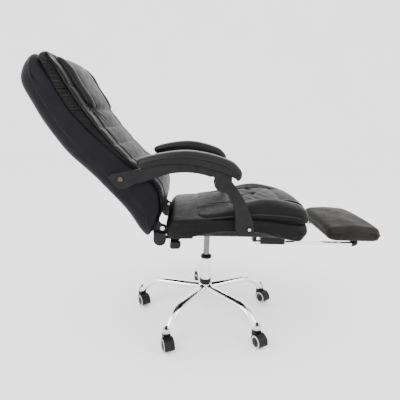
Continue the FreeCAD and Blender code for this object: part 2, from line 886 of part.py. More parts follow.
def back_cushion(shell_form, tools):
    curve = curve_through(SHELL_FRONT)
    seams = CUSHION_SEAMS + CUSHION_TOP
    stations = mirrored([0, 90, 165, 212, 232, 243, 248])
    form = loft("cushion_form", [cushion_profile(y, curve, seams, CUSHION_SWELL) for y in stations])
    keep(cut("back_cushion", form, [shell_form] + tools), "back_cushion")
    return form


HEADREST_HALF = 172.0


def headrest_profile(y):
    roll = rounding(y, HEADREST_HALF, 30)
    inward = 0.75 * roll
    crown = 9 * (y / HEADREST_HALF) ** 2
    inward = inward + crown
    spots = [
        (-475, 972),
        (-458 - 0.5 * inward, 970 + 0.4 * roll),
        (-457 - inward, 990 + 0.4 * roll),
        (-484 - inward, 1035),
        (-513 - inward, 1080 - 0.4 * roll),
        (-532 - inward, 1118 - roll),
        (-562 - inward, 1143 - roll),
        (-582, 1149 - roll),
        (-595, 1134 - roll),
        (-540, 1052),
    ]
    return closed_wire(at_y(y, spots))


def headrest_pad(cushion_form):
    wires = [headrest_profile(y) for y in mirrored([0, 80, 142, 162, 171])]
    keep(cut("headrest_pad", loft("headrest_form", wires), [cushion_form]), "headrest_pad")


# A moulded plywood board follows the front of the shell, two thirds sunk into it.
def back_board():
    curve = curve_through(SHELL_FRONT)
    levels = [0.2, 0.35, 0.5, 0.65, 0.8]
    face = []
    rear = []
    for level in levels:
        ahead = along(curve, level + 0.02) - along(curve, level - 0.02)
        inward = Vector(-ahead.z, 0, ahead.x).normalize()
        face.append(along(curve, level) - inward * 4)
        rear.append(along(curve, level) + inward * 8)
    wire = closed_wire(shifted(face + rear[::-1], -190))
    board = doc.addObject("Part::Feature", "back_board")
    board.Shape = Part.Face(wire).extrude(Vector(0, 380, 0))
    return keep(board, "back_board")


def back_hinges():
    plates = []
    tools = []
    inner = "{ear_inner} + {ear_thick} + {ear_gap}"
    outer = "{ear_inner} + 2 * {ear_thick} + {ear_gap}"
    corners = [
        ("-228", "466", "-204", "439"),
        ("-181", "465"),
        ("-182", "505"),
        ("-207", "532"),
        ("-212", "560"),
        ("-208", "600", "-222", "616"),
        ("-238", "602"),
        ("-242", "530"),
    ]
    for side, word in ((-1, "right"), (1, "left")):
        body = doc.addObject("PartDesign::Body", "back_hinge_" + word)
        side_plate(body, "back_ear_" + word, side, inner, outer, corners,
                   [("-{hinge_x}", "{hinge_z}", "{hinge_pin_radius} + {slide_gap}")])
        plates.append(body)
        solid = doc.addObject("PartDesign::Body", "hinge_recess_" + word)
        side_plate(solid, "hinge_recess_pad_" + word, side, inner, outer, corners)
        tools.append(solid)
        cover = new_body("hinge_cover_" + word)
        side_plate(
            cover,
            "cover_" + word,
            side,
            outer,
            outer + " + 20",
            [
                ("-230", "464", "-204", "435"),
                ("-179", "463"),
                ("-183", "486"),
                ("-229", "492"),
            ],
        )
    group("back_hinge_plates", plates)
    return tools


# Arms: strut, frame with its knuckle and rear eye, padded top


def arms():
    for side, word in ((-1, "right"), (1, "left")):
        strut(side, word)
        arm_pad(side, word, arm_frame(side, word))
        pin = side_pin(
            "knuckle_pin_" + word,
            "{knuckle_x}",
            "{knuckle_z}",
            "7",
            side,
            "{strut_inner} - 2",
            "{strut_inner} + {strut_thick} + 0.5",
        )
        keep(pin, "knuckle_pin_" + word)


def strut(side, word):
    body = new_body("strut_" + word)
    side_plate(
        body,
        "strut_blade_" + word,
        side,
        "{strut_inner}",
        "{strut_inner} + {strut_thick}",
        [
            ("8", "733", "38", "745"),
            ("65", "722", "118", "650"),
            ("157", "565", "164", "536"),
            ("168", "510", "140", "502"),
            ("108", "507", "98", "520"),
            ("91", "548", "84", "610"),
            ("60", "667", "40", "682"),
            ("16", "688", "2", "708"),
        ],
        [
            ("{knuckle_x}", "{knuckle_z}", "7 + {slide_gap}"),
            ("{strut_foot_x}", "{strut_foot_z}", "{bolt_radius} + {slide_gap}"),
        ],
    )


def arm_frame(side, word):
    body = new_body("arm_frame_" + word)
    side_plate(
        body,
        "arm_beam_" + word,
        side,
        "{arm_inner}",
        "{arm_outer}",
        [
            ("-276", "757", "-90", "779"),
            ("66", "738"),
            ("68", "700", "44", "682"),
            ("1", "712", "6", "730"),
            ("-12", "737", "-90", "751"),
            ("-200", "733"),
            ("-275", "706"),
        ],
    )
    doc.recompute()
    recess = new_sketch(
        body,
        "knuckle_recess_sketch_" + word,
        "XZ_Plane",
        "-{strut_inner} + 2" if side > 0 else "{strut_inner} + {strut_thick} + 1",
    )
    circle(recess, "{knuckle_x}", "{knuckle_z}", "{knuckle_radius} + 5")
    pocket(body, "knuckle_recess_" + word, recess, "{strut_thick} + 3").Reversed = False
    doc.recompute()
    side_plate(
        body,
        "arm_plate_" + word,
        side,
        "{arm_eye_inner}",
        "{arm_eye_outer} + 8",
        [
            ("-377", "733"),
            ("-281", "751"),
            ("-235", "757"),
            ("-235", "722"),
            ("-274", "706"),
            ("-331", "678"),
            ("-357", "673"),
            ("-396", "717"),
        ],
    )
    doc.recompute()
    eye = new_sketch(
        body, "eye_sketch_" + word, "XZ_Plane",
        "-{arm_eye_inner} + 1" if side > 0 else "{arm_eye_outer} + 12",
    )
    circle(eye, "-{arm_bolt_x}", "{arm_bolt_z}", "{bolt_radius} + {linkage_play}")
    pocket(body, "eye_" + word, eye, "40").Reversed = False
    return body


# The pad's underside follows the arch of the frame's top, and its front end droops over the knuckle.
def arm_pad(side, word, frame):
    middle = size("arm_middle") * side
    arch = Part.Arc(Vector(-276, 0, 757), Vector(-90, 0, 779), Vector(66, 0, 738)).toShape()

    def profile(y):
        pull = rounding(y, 36, 22)
        under = [(spot.x * (1 - pull / 300), spot.z + 0.4 * pull) for spot in arch.discretize(8)]
        spots = under + [
            (78 - pull, 731 + 0.6 * pull),
            (88 - pull, 722 + 0.8 * pull),
            (102 - pull, 732 + 0.4 * pull),
            (103 - pull, 755),
            (88 - pull, 778 - 0.7 * pull),
            (62 - pull, 796 - 0.9 * pull),
            (-100, 830 - pull),
            (-262 + pull, 800 - pull),
            (-280 + pull, 784 - 0.5 * pull),
        ]
        return closed_wire(at_y(middle + y, spots))

    form = loft("arm_pad_form_" + word, [profile(y) for y in mirrored([0, 16, 28, 35])])
    keep(cut("arm_pad_" + word, form, [frame]), "arm_pad_" + word)


def arm_rear_bolts():
    bolts = []
    for side, word in ((-1, "right"), (1, "left")):
        outer = "{arm_eye_outer} + 8.5"
        shank = side_pin("arm_shank_" + word, "-{arm_bolt_x}", "{arm_bolt_z}", "{bolt_radius}", side,
                         "215", outer)
        head = side_pin("arm_head_" + word, "-{arm_bolt_x}", "{arm_bolt_z}", "9", side, outer,
                        outer + " + 4")
        bolts.append(fuse("arm_bolt_" + word, [shank, head]))
    group("arm_rear_bolts", bolts)
    return [
        side_pin("arm_hole_" + word, "-{arm_bolt_x}", "{arm_bolt_z}", "{bolt_radius}", side, "215", "270")
        for side, word in ((-1, "right"), (1, "left"))
    ]


# Footrest: bent tube, clamps, board and pad

FOOT_HALF = 186.0


def footrest():
    footrest_frame()
    clamps = []
    for y in (-90, 90):
        name = "clamp_%d" % (y + 100)
        saddle = cylinder(name + "_saddle", "{foot_tube_radius} + 4", "26",
                          ("{foot_bar_x}", str(y - 13), "{foot_tube_z}"), ALONG_Y)
        foot = box(name + "_foot", ("{foot_bar_x} - 26", str(y - 13), "{foot_tube_z} + 4"),
                   ("{foot_bar_x} + 26", str(y + 13), "{foot_pad_bottom} - 8"))
        hole = cylinder(name + "_hole", "{foot_tube_radius} + {slide_gap}", "60",
                        ("{foot_bar_x}", str(y - 30), "{foot_tube_z}"), ALONG_Y)
        clamps.append(cut(name, fuse(name + "_solid", [saddle, foot]), [hole]))
    group("footrest_clamps", clamps)
    board = box(
        "footrest_board", ("538", "-168", "{foot_pad_bottom} - 8"), ("708", "168", "{foot_pad_bottom}")
    )
    keep(board, "footrest_board")

    low = size("foot_pad_bottom") - 8

    def profile(y):
        pull = rounding(y, FOOT_HALF, 28)
        rise = 67 - 0.8 * pull - 8 * (y / FOOT_HALF) ** 2
        spots = [
            (524 + pull, low),
            (625, low),
            (726 - pull, low),
            (736 - pull, low + 0.12 * rise),
            (741 - pull, low + 0.35 * rise),
            (738 - pull, low + 0.7 * rise),
            (722 - pull, low + 0.92 * rise),
            (625, low + rise + 4),
            (534 + pull, low + 0.95 * rise),
            (518 + pull, low + 0.76 * rise),
            (512 + pull, low + 0.35 * rise),
            (514 + pull, low + 0.12 * rise),
        ]
        return closed_wire(at_y(y, spots))

    form = loft("footrest_form", [profile(y) for y in mirrored([0, 80, 150, 174, 185])])
    recess = box("foot_recess", ("538", "-168", "{foot_pad_bottom} - 20"), ("708", "168", "{foot_pad_bottom}"))
    keep(cut("footrest_pad", form, [recess]), "footrest_pad")


# The U-shaped tube is two rails and a cross bar joined by quarter bends.
def footrest_frame():
    rear = "{foot_rear_x}"
    bend = "{foot_corner}"
    radius = "{foot_tube_radius}"
    rail = "{foot_bar_x} - {foot_corner} - {foot_rear_x}"
    pieces = []
    for side, word, start in ((-1, "right", 270), (1, "left", 0)):
        line = "%d * {foot_half}" % side
        centre = "%d * ({foot_half} - {foot_corner})" % side
        pieces.append(cylinder("foot_rail_" + word, radius, rail, (rear, line, "{foot_tube_z}"), ALONG_X))
        corner = doc.addObject("Part::Torus", "foot_bend_" + word)
        bind(corner, Radius1=bend, Radius2=radius)
        corner.Angle3 = 90
        corner.Placement.Rotation = Rotation(Vector(0, 0, 1), start)
        bind(
            corner,
            Placement__Base__x="{foot_bar_x} - {foot_corner}",
            Placement__Base__y=centre,
            Placement__Base__z="{foot_tube_z}",
        )
        pieces.append(corner)
    bar = "2 * ({foot_half} - {foot_corner})"
    start = "-{foot_half} + {foot_corner}"
    pieces.append(cylinder("foot_bar", radius, bar, ("{foot_bar_x}", start, "{foot_tube_z}"), ALONG_Y))
    keep(fuse("footrest_frame", pieces), "footrest_frame")


def build():
    fill_sheet()
    star_base()
    column()
    for index, heading in enumerate(CASTER_HEADINGS, start=1):
        caster(index, heading)
    tilt_mechanism()
    height_lever()
    seat_board()
    seat_hinge_plates()
    recline_lever()
    footrest_guides()
    holes = strut_bolts()
    seat_top_pad(seat_cushion(holes))
    plywood = back_board()
    recesses = back_hinges()
    arm_holes = arm_rear_bolts()
    shell = back_shell([plywood] + recesses + arm_holes)
    headrest_pad(back_cushion(shell, [plywood] + recesses))
    arms()
    footrest()
    doc.recompute()


def check():
    faults = []
    for item in doc.Objects:
        if "Invalid" in item.State or "Error" in item.State:
            faults.append(item.Name)
    for item in parts:
        if item.Shape.isNull() or not item.Shape.isValid():
            faults.append(item.Label)
    if faults:
        raise RuntimeError("failed: " + ", ".join(faults))


def write():
    os.makedirs("parts", exist_ok=True)
    for item in parts:
        item.Shape.exportStep(os.path.join("parts", item.Label + ".step"))
    print(len(parts), "parts written")


build()
check()
write()
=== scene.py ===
import json
import logging
import math
from dataclasses import dataclass, field
from enum import Enum
from typing import NamedTuple

import bmesh
import bpy
import numpy as np
from mathutils import Matrix, Vector


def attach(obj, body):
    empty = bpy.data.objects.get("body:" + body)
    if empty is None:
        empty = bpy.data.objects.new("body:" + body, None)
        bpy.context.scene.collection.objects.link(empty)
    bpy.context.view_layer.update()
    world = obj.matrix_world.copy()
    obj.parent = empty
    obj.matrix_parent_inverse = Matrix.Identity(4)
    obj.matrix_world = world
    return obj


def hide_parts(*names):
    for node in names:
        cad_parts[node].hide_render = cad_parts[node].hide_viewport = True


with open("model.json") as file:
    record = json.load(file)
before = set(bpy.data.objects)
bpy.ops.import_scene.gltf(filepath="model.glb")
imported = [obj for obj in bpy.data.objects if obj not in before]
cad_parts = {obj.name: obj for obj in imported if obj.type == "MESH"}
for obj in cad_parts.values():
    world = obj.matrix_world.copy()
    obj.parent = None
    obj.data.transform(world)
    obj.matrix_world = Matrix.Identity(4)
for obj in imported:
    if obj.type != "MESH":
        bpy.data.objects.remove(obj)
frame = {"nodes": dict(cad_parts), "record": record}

LOG = logging.getLogger("chair")


class Slot(Enum):
    """The record's material slots."""

    CHROME = "chrome"
    STEEL = "steel"
    BLACK_STEEL = "black_steel"
    PLASTIC = "black_plastic"
    TREAD = "tread"
    PLYWOOD = "plywood"
    LEATHER = "black_leather"


class Side(Enum):
    """The two sides of the chair, with the sign of their Y."""

    RIGHT = -1
    LEFT = 1

    @property
    def word(self) -> str:
        """The side's name as the bodies use it."""
        return self.name.lower()

    @property
    def outward(self) -> Matrix:
        """A turn that lays Z along Y, pointing out of the chair on this side."""
        return Matrix.Rotation(-self.value * math.pi / 2, 4, "X")


# Curves and shapes in numbers


def metres(pairs: list[tuple[float, float]]) -> np.ndarray:
    """Points given in millimetres, as an array in metres."""
    return np.array(pairs, float) / 1000.0


def spline(points: np.ndarray, closed: bool, steps: int = 20) -> np.ndarray:
    """A smooth line through points.

    Each span is the Catmull-Rom cubic: its ends are two neighbouring points and its slope at each
    end is half the way between the points on either side.

    Args:
        points: rows of coordinates.
        closed: whether the line runs back to its first point.
        steps: samples on each span.

    Returns:
        Rows of coordinates along the line.
    """
    if closed:
        before, start, end, after = (np.roll(points, shift, 0) for shift in (1, 0, -1, -2))
    else:
        ends = np.vstack([2 * points[0] - points[1], points, 2 * points[-1] - points[-2]])
        before, start, end, after = ends[:-3], ends[1:-2], ends[2:-1], ends[3:]
    t = np.linspace(0, 1, steps, endpoint=False)[:, None, None]
    line = 0.5 * (
        2 * start
        + (end - before) * t
        + (2 * before - 5 * start + 4 * end - after) * t**2
        + (3 * start - before - 3 * end + after) * t**3
    )
    line = line.transpose(1, 0, 2).reshape(-1, points.shape[1])
    return line if closed else np.vstack([line, points[-1:]])


def lengths(line: np.ndarray) -> np.ndarray:
    """The distance along an open line at each of its points."""
    return np.concatenate([[0.0], np.cumsum(np.linalg.norm(np.diff(line, axis=0), axis=1))])


def spaced(line: np.ndarray, count: int) -> np.ndarray:
    """Points evenly spaced by length along an open line."""
    run = lengths(line)
    at = np.linspace(0, run[-1], count)
    return np.stack([np.interp(at, run, line[:, axis]) for axis in range(line.shape[1])], 1)


def step(low: float, high: float, value: np.ndarray) -> np.ndarray:
    """A smooth rise from 0 at low to 1 at high."""
    t = np.clip((value - low) / (high - low), 0, 1)
    return t * t * (3 - 2 * t)


def bump(value: np.ndarray, middle: float, width: float) -> np.ndarray:
    """A bell of height 1 around middle."""
    return np.exp(-(((value - middle) / width) ** 2))


def rounding(y: np.ndarray, half: float, radius: np.ndarray) -> np.ndarray:
    """How far an edge of this radius has drawn in at y, on a piece of this half width."""
    over = np.maximum(np.abs(y) - (half - radius), 0.0)
    return radius - np.sqrt(np.maximum(radius**2 - over**2, 0.0))


def puffs(run: np.ndarray, seams: np.ndarray) -> np.ndarray:
    """Padding sewn down at seams: 0 at each seam, 1 half way between two, flat on top."""
    cell = np.clip(np.searchsorted(seams, run, side="right") - 1, 0, len(seams) - 2)
    share = np.clip((run - seams[cell]) / (seams[cell + 1] - seams[cell]), 0, 1)
    return 1 - np.abs(2 * share - 1) ** 3.5


def gathers(run: np.ndarray, across: np.ndarray, pitch: float) -> np.ndarray:
    """Pleats of gathered leather: arcs of uneven pitch along run that wander a little across it."""
    phase = (
        run / pitch
        + 0.45 * np.sin(run * 41)
        + 0.3 * np.sin(run * 97 + 2)
        + 0.5 * across * np.sin(run * 63 + 1)
    )
    return np.abs(np.sin(math.pi * phase)) ** 0.75 * (0.72 + 0.28 * np.sin(run * 71 + 4))


def loop(controls: list[tuple[float, float]], tip: int, count: int) -> np.ndarray:
    """A closed side outline, in metres, whose points pair up across its middle line.

    The outline starts at the first control, which is one tip, and passes the other tip at index
    tip. Both ways from tip to tip get the same number of evenly spaced points.

    Args:
        controls: corners in millimetres, the near side's first.
        tip: index of the second tip.
        count: points on each of the two ways.

    Returns:
        Twice count points, of which number k faces number 2 count - k.
    """
    steps = 20
    line = spline(metres(controls), True, steps)
    near = spaced(line[: tip * steps + 1], count + 1)
    far = spaced(np.vstack([line[tip * steps :], line[:1]]), count + 1)
    return np.vstack([near[:-1], far[:-1]])


class Grid(NamedTuple):
    """A padded form's points with what its relief is written in."""

    points: np.ndarray  # rows across the width, columns around the outline
    run: np.ndarray  # metres from the first tip along the near or far way
    near: np.ndarray  # 1 on the near way, 0 on the far one
    front: np.ndarray  # on a side face 0 at the far rim, 1 at the near rim; 1 or 0 elsewhere
    depth: np.ndarray  # 0 in the middle of a side face, 1 from its rim on
    y: np.ndarray  # metres across from the form's middle


@dataclass
class Pillow:
    """A padded form: a closed side outline carried across the width and rounded at both sides."""

    outline: np.ndarray
    half: float
    radius: tuple[float, float]
    corner: tuple[float, float] = (0.0, 0.0)
    middle: float = 0.0
    bulge: float = 0.004
    rings: int = 12
    arc: int = 10
    across: int = 44

    def facing(self) -> np.ndarray:
        """For each point of the outline, the number of the one that faces it."""
        count = len(self.outline)
        return (count - np.arange(count)) % count

    def mark(self, x: float, z: float) -> float:
        """Metres along the near way to the place nearest to x, z, which are in millimetres."""
        near = self.outline[: len(self.outline) // 2 + 1]
        return float(lengths(near)[np.argmin(np.hypot(*(near - metres([(x, z)])).T))])

    def rows(self) -> tuple[np.ndarray, np.ndarray]:
        """The stations across the width, as y and depth: side face, rounded edge, middle, mirrored."""
        reach = max(self.radius)
        turn = np.linspace(0, math.pi / 2, self.arc)[1:]
        side = np.full(self.rings, self.half)
        edge = self.half - reach + reach * np.cos(turn)
        middle = np.linspace(edge[-1], -edge[-1], self.across)[1:-1]
        y = np.concatenate([side, edge, middle, -edge[::-1], -side[::-1]])
        depth = np.ones(len(y))
        depth[: self.rings] = np.linspace(0, 1, self.rings)
        depth[-self.rings :] = np.linspace(1, 0, self.rings)
        return y[:, None], depth[:, None]

    def grid(self) -> Grid:
        """The form's points.

        A point is the middle line's, drawn in lengthwise near the corners, plus the outline's
        offset from that line, shortened by the edge's rounding and by the depth of the side face.

        Returns:
            The grid with its coordinates for relief.
        """
        count = len(self.outline)
        index = np.arange(count)
        facing = self.facing()
        centre = (self.outline + self.outline[facing]) / 2
        offset = self.outline - centre
        line = centre[: count // 2 + 1]
        run = lengths(line)
        share = run[np.minimum(index, facing)] / run[-1]
        near = ((index > 0) & (index < count // 2)).astype(float)[None, :]
        y, depth = self.rows()
        radius = np.where(near > 0, self.radius[0], self.radius[1])
        size = np.maximum(np.linalg.norm(offset, axis=1), 1e-6)[None, :]
        scale = depth * (1 - np.clip(rounding(y, self.half, radius) / size, 0, 0.9))
        low, high = (rounding(y, self.half, reach) / run[-1] for reach in self.corner)
        moved = low + share[None, :] * (1 - low - high)
        plane = [np.interp(moved, run / run[-1], line[:, axis]) for axis in (0, 1)]
        out = np.sign(y) * self.bulge * (1 - depth**2)
        points = np.stack(
            [
                plane[0] + offset[None, :, 0] * scale,
                np.broadcast_to(self.middle + y + out, scale.shape),
                plane[1] + offset[None, :, 1] * scale,
            ],
            -1,
        )
        ways = [lengths(self.outline[: count // 2 + 1])]
        ways.append(lengths(np.vstack([self.outline[count // 2 :], self.outline[:1]])))
        along = np.concatenate([ways[0][:-1], (ways[1][-1] - ways[1])[:-1]])[None, :]
        front = np.where(near > 0, 0.5 + 0.5 * depth, 0.5 - 0.5 * depth)
        return Grid(points, along, near, front, depth, y)


def normals(points: np.ndarray) -> np.ndarray:
    """Outward unit normals of a grid whose columns run round: the cross product of its two slopes."""
    around = np.roll(points, -1, 1) - np.roll(points, 1, 1)
    normal = np.cross(around, np.gradient(points, axis=0))
    normal /= np.maximum(np.linalg.norm(normal, axis=-1, keepdims=True), 1e-9)
    outward = np.sum(normal * (points - points.mean((0, 1)))) > 0
    return normal if outward else -normal


def raised(points: np.ndarray, amount: np.ndarray) -> np.ndarray:
    """The grid moved outwards by amount, in metres."""
    return points + normals(points) * amount[..., None]


def rims(points: np.ndarray, row: int, span: slice, lift: float) -> list[np.ndarray]:
    """Two lines along the surface, lifted off it: the columns of span, at row and at its mirror image."""
    out = normals(points)
    return [points[r, span] + out[r, span] * lift for r in (row, len(points) - 1 - row)]


def tube(path: np.ndarray, wide: np.ndarray, high: np.ndarray, sides: int = 20) -> np.ndarray:
    """A closed oval tube: an ellipse square to the path at each point, shrunk to a pole at both ends.

    Args:
        path: points of the centre line.
        wide: half widths, level and across the path.
        high: half heights, square to both.
        sides: points round the ellipse.

    Returns:
        A grid whose columns run round the tube.
    """
    ahead = np.gradient(path, axis=0)
    ahead /= np.linalg.norm(ahead, axis=1, keepdims=True)
    up = np.where(np.abs(ahead[:, 2:]) > 0.97, [[1.0, 0, 0]], [[0, 0, 1.0]])
    level = np.cross(up, ahead)
    level /= np.linalg.norm(level, axis=1, keepdims=True)
    rise = np.cross(ahead, level)
    turn = np.linspace(0, 2 * math.pi, sides, endpoint=False)
    wide, high = (np.broadcast_to(value, len(path))[:, None, None] for value in (wide, high))
    cosine, sine = (value[None, :, None] for value in (np.cos(turn), np.sin(turn)))
    ring = wide * cosine * level[:, None] + high * sine * rise[:, None]
    body = path[:, None] + ring
    ends = [np.broadcast_to(path[end], (1, sides, 3)) for end in (0, -1)]
    return np.concatenate([ends[0], body, ends[1]])


def turned(profile: list[tuple[float, float]], sides: int = 48) -> np.ndarray:
    """A profile of radius and height in millimetres turned about Z. Its ends lie on the axis or meet."""
    radius, height = metres(profile).T
    turn = np.linspace(0, 2 * math.pi, sides, endpoint=False)
    return np.stack(
        [
            radius[:, None] * np.cos(turn),
            radius[:, None] * np.sin(turn),
            np.broadcast_to(height[:, None], (len(radius), sides)),
        ],
        -1,
    )


def moved(grid: np.ndarray, matrix: Matrix) -> np.ndarray:
    """A grid carried by a 4 by 4 matrix."""
    m = np.array(matrix)
    return grid @ m[:3, :3].T + m[:3, 3]


def about_z(angle: float, spot: tuple[float, float, float] = (0, 0, 0)) -> Matrix:
    """A turn about the vertical, in radians, then a move to spot."""
    return Matrix.Translation(spot) @ Matrix.Rotation(angle, 4, "Z")


def built(name: str, grids: list[np.ndarray]) -> bpy.types.Object:
    """One smooth object from grids whose columns run round and whose first and last rows close or meet.

    Args:
        name: the object's name.
        grids: arrays of rows, columns and coordinates.

    Returns:
        The object, with points that meet merged and its faces turned outwards.
    """
    points, quads, base = [], [], 0
    for grid in grids:
        rows, columns = grid.shape[:2]
        row, column = np.arange(rows - 1)[:, None] * columns, np.arange(columns)[None, :]
        start, end = row + column, row + (column + 1) % columns
        quads.append(np.stack([start, end, end + columns, start + columns], -1).reshape(-1, 4) + base)
        points.append(grid.reshape(-1, 3))
        base += rows * columns
    mesh = bpy.data.meshes.new(name)
    mesh.from_pydata(np.vstack(points).tolist(), [], np.vstack(quads).tolist())
    work = bmesh.new()
    work.from_mesh(mesh)
    bmesh.ops.remove_doubles(work, verts=work.verts, dist=1e-6)
    bmesh.ops.recalc_face_normals(work, faces=work.faces)
    work.to_mesh(mesh)
    work.free()
    mesh.polygons.foreach_set("use_smooth", np.ones(len(mesh.polygons), bool))
    thing = bpy.data.objects.new(name, mesh)
    bpy.context.scene.collection.objects.link(thing)
    LOG.info("%s: %d faces", name, len(mesh.polygons))
    return thing


# Shared surface effects


class Effects:
    """Node groups that give masks and heights to the finishes."""

    @staticmethod
    def new_group(name: str, outputs: list[str]) -> bpy.types.NodeTree:
        """A group with float outputs of these names and a Scale input."""
        group = bpy.data.node_groups.new(name, "ShaderNodeTree")
        group.interface.new_socket("Scale", in_out="INPUT", socket_type="NodeSocketFloat")
        for output in outputs:
            group.interface.new_socket(output, in_out="OUTPUT", socket_type="NodeSocketFloat")
        return group

    @staticmethod
    def noise(
        group: bpy.types.NodeTree, entry: bpy.types.Node, factor: float, detail: float, kind: str
    ) -> bpy.types.NodeSocket:
        """Noise or cells in object coordinates, at the group's scale times factor."""
        coordinates = group.nodes.new("ShaderNodeTexCoord")
        times = group.nodes.new("ShaderNodeMath")
        times.operation = "MULTIPLY"
        times.inputs[1].default_value = factor
        group.links.new(entry.outputs["Scale"], times.inputs[0])
        texture = group.nodes.new(kind)
        if kind == "ShaderNodeTexNoise":
            texture.inputs["Detail"].default_value = detail
        group.links.new(coordinates.outputs["Object"], texture.inputs["Vector"])
        group.links.new(times.outputs[0], texture.inputs["Scale"])
        return texture.outputs[0]

    @classmethod
    def grain(cls) -> bpy.types.NodeTree:
        """Leather: pebbles and fine creases as Height, broad rubbed patches as Patch, creases as Crease."""
        known = bpy.data.node_groups.get("grain")
        if known:
            return known
        group = cls.new_group("grain", ["Height", "Patch", "Crease"])
        entry, leave = group.nodes.new("NodeGroupInput"), group.nodes.new("NodeGroupOutput")
        pebbles = cls.noise(group, entry, 1.0, 0, "ShaderNodeTexVoronoi")
        crease = cls.noise(group, entry, 0.06, 5, "ShaderNodeTexNoise")
        patch = cls.noise(group, entry, 0.012, 3, "ShaderNodeTexNoise")
        mix = group.nodes.new("ShaderNodeMath")
        mix.operation = "MULTIPLY_ADD"
        mix.inputs[1].default_value = 0.25
        group.links.new(pebbles, mix.inputs[0])
        group.links.new(crease, mix.inputs[2])
        group.links.new(mix.outputs[0], leave.inputs["Height"])
        group.links.new(patch, leave.inputs["Patch"])
        group.links.new(crease, leave.inputs["Crease"])
        return group

    @classmethod
    def smudges(cls) -> bpy.types.NodeTree:
        """Handling marks as Mask and a faint orange peel as Height."""
        known = bpy.data.node_groups.get("smudges")
        if known:
            return known
        group = cls.new_group("smudges", ["Mask", "Height"])
        entry, leave = group.nodes.new("NodeGroupInput"), group.nodes.new("NodeGroupOutput")
        group.links.new(cls.noise(group, entry, 0.05, 4, "ShaderNodeTexNoise"), leave.inputs["Mask"])
        group.links.new(cls.noise(group, entry, 1.0, 2, "ShaderNodeTexNoise"), leave.inputs["Height"])
        return group


@dataclass(frozen=True)
class Finish:
    """A procedural finish: two tones, a span of roughness and a relief, all driven by one effect."""

    name: str
    dark: tuple[float, float, float]
    light: tuple[float, float, float]
    rough: tuple[float, float]
    metal: float = 0.0
    scale: float = 300.0
    relief: float = 0.1
    depth: float = 0.0004
    leather: bool = False
    coat: float = 0.0
    sheen: float = 0.0
    shine: float = 0.5

    def material(self) -> bpy.types.Material:
        """The finish's material, made the first time it is asked for."""
        known = bpy.data.materials.get(self.name)
        if known:
            return known
        material = bpy.data.materials.new(self.name)
        material.use_nodes = True
        nodes, links = material.node_tree.nodes, material.node_tree.links
        shader = next(node for node in nodes if node.type == "BSDF_PRINCIPLED")
        effect = nodes.new("ShaderNodeGroup")
        effect.node_tree = Effects.grain() if self.leather else Effects.smudges()
        effect.inputs["Scale"].default_value = self.scale
        mask = effect.outputs["Patch" if self.leather else "Mask"]
        tones = nodes.new("ShaderNodeValToRGB")
        for stop, place, tone in zip(tones.color_ramp.elements, (0.3, 0.7), (self.dark, self.light)):
            stop.position, stop.color = place, (*tone, 1)
        links.new(mask, tones.inputs[0])
        links.new(tones.outputs[0], shader.inputs["Base Color"])
        span = nodes.new("ShaderNodeMapRange")
        span.inputs["From Min"].default_value, span.inputs["From Max"].default_value = 0.3, 0.7
        span.inputs["To Min"].default_value, span.inputs["To Max"].default_value = self.rough
        links.new(effect.outputs["Crease" if self.leather else "Mask"], span.inputs["Value"])
        links.new(span.outputs[0], shader.inputs["Roughness"])
        bumps = nodes.new("ShaderNodeBump")
        bumps.inputs["Strength"].default_value = self.relief
        bumps.inputs["Distance"].default_value = self.depth
        links.new(effect.outputs["Height"], bumps.inputs["Height"])
        links.new(bumps.outputs[0], shader.inputs["Normal"])
        shader.inputs["Metallic"].default_value = self.metal
        shader.inputs["Coat Weight"].default_value = self.coat
        shader.inputs["Coat Roughness"].default_value = 0.25
        shader.inputs["Sheen Weight"].default_value = self.sheen
        shader.inputs["Specular IOR Level"].default_value = self.shine
        return material


# The shell's leather is tinted blue-violet: a painted sheen. Its grain and rubbed patches vary it at random.
SHELL_LEATHER_PAINTED_SHEEN = Finish(
    "leather_shell_painted_sheen", (0.0032, 0.0032, 0.0046), (0.006, 0.0057, 0.0074), (0.40, 0.55), scale=620, relief=0.3,
    depth=0.0008, leather=True, shine=0.09,
)
LEATHER = Finish(
    "leather", (0.0030, 0.0030, 0.0034), (0.0062, 0.0058, 0.0058), (0.34, 0.5), scale=620, relief=0.35,
    depth=0.0009, leather=True, shine=0.08,
)
# A lighter copy of the leather, used on the footrest pad.
LIGHTER_LEATHER = Finish(
    "leather_lighter", (0.008, 0.0074, 0.0072), (0.015, 0.0133, 0.0122), (0.42, 0.58), scale=620, relief=0.35,
    depth=0.0009, leather=True, shine=0.08,
)
ARM_LEATHER = Finish(
    "leather_arm", (0.004, 0.004, 0.0045), (0.008, 0.0078, 0.008), (0.3, 0.42), scale=620, relief=0.25,
    depth=0.0007, leather=True, shine=0.14,
)
# Lighter than the leather around it: a painted highlight along the piping cords.
PIPING_PAINTED_HIGHLIGHT = Finish(
    "leather_piping", (0.008, 0.0078, 0.008), (0.016, 0.015, 0.0145), (0.34, 0.46), scale=620, relief=0.2,
    leather=True, shine=0.14,
)
# The chrome's base colour is a dark grey: a painted reflection of dark surroundings. The smudge mask varies
# it at random.
CHROME = Finish("chrome", (0.24, 0.24, 0.245), (0.31, 0.31, 0.315), (0.035, 0.09), metal=1.0, relief=0.02)
PISTON = Finish("chrome_rod", (0.1, 0.1, 0.105), (0.16, 0.16, 0.165), (0.12, 0.22), metal=1.0, relief=0.03)
STEEL = Finish("zinc_steel", (0.46, 0.45, 0.43), (0.6, 0.59, 0.57), (0.24, 0.42), metal=1.0, relief=0.06)
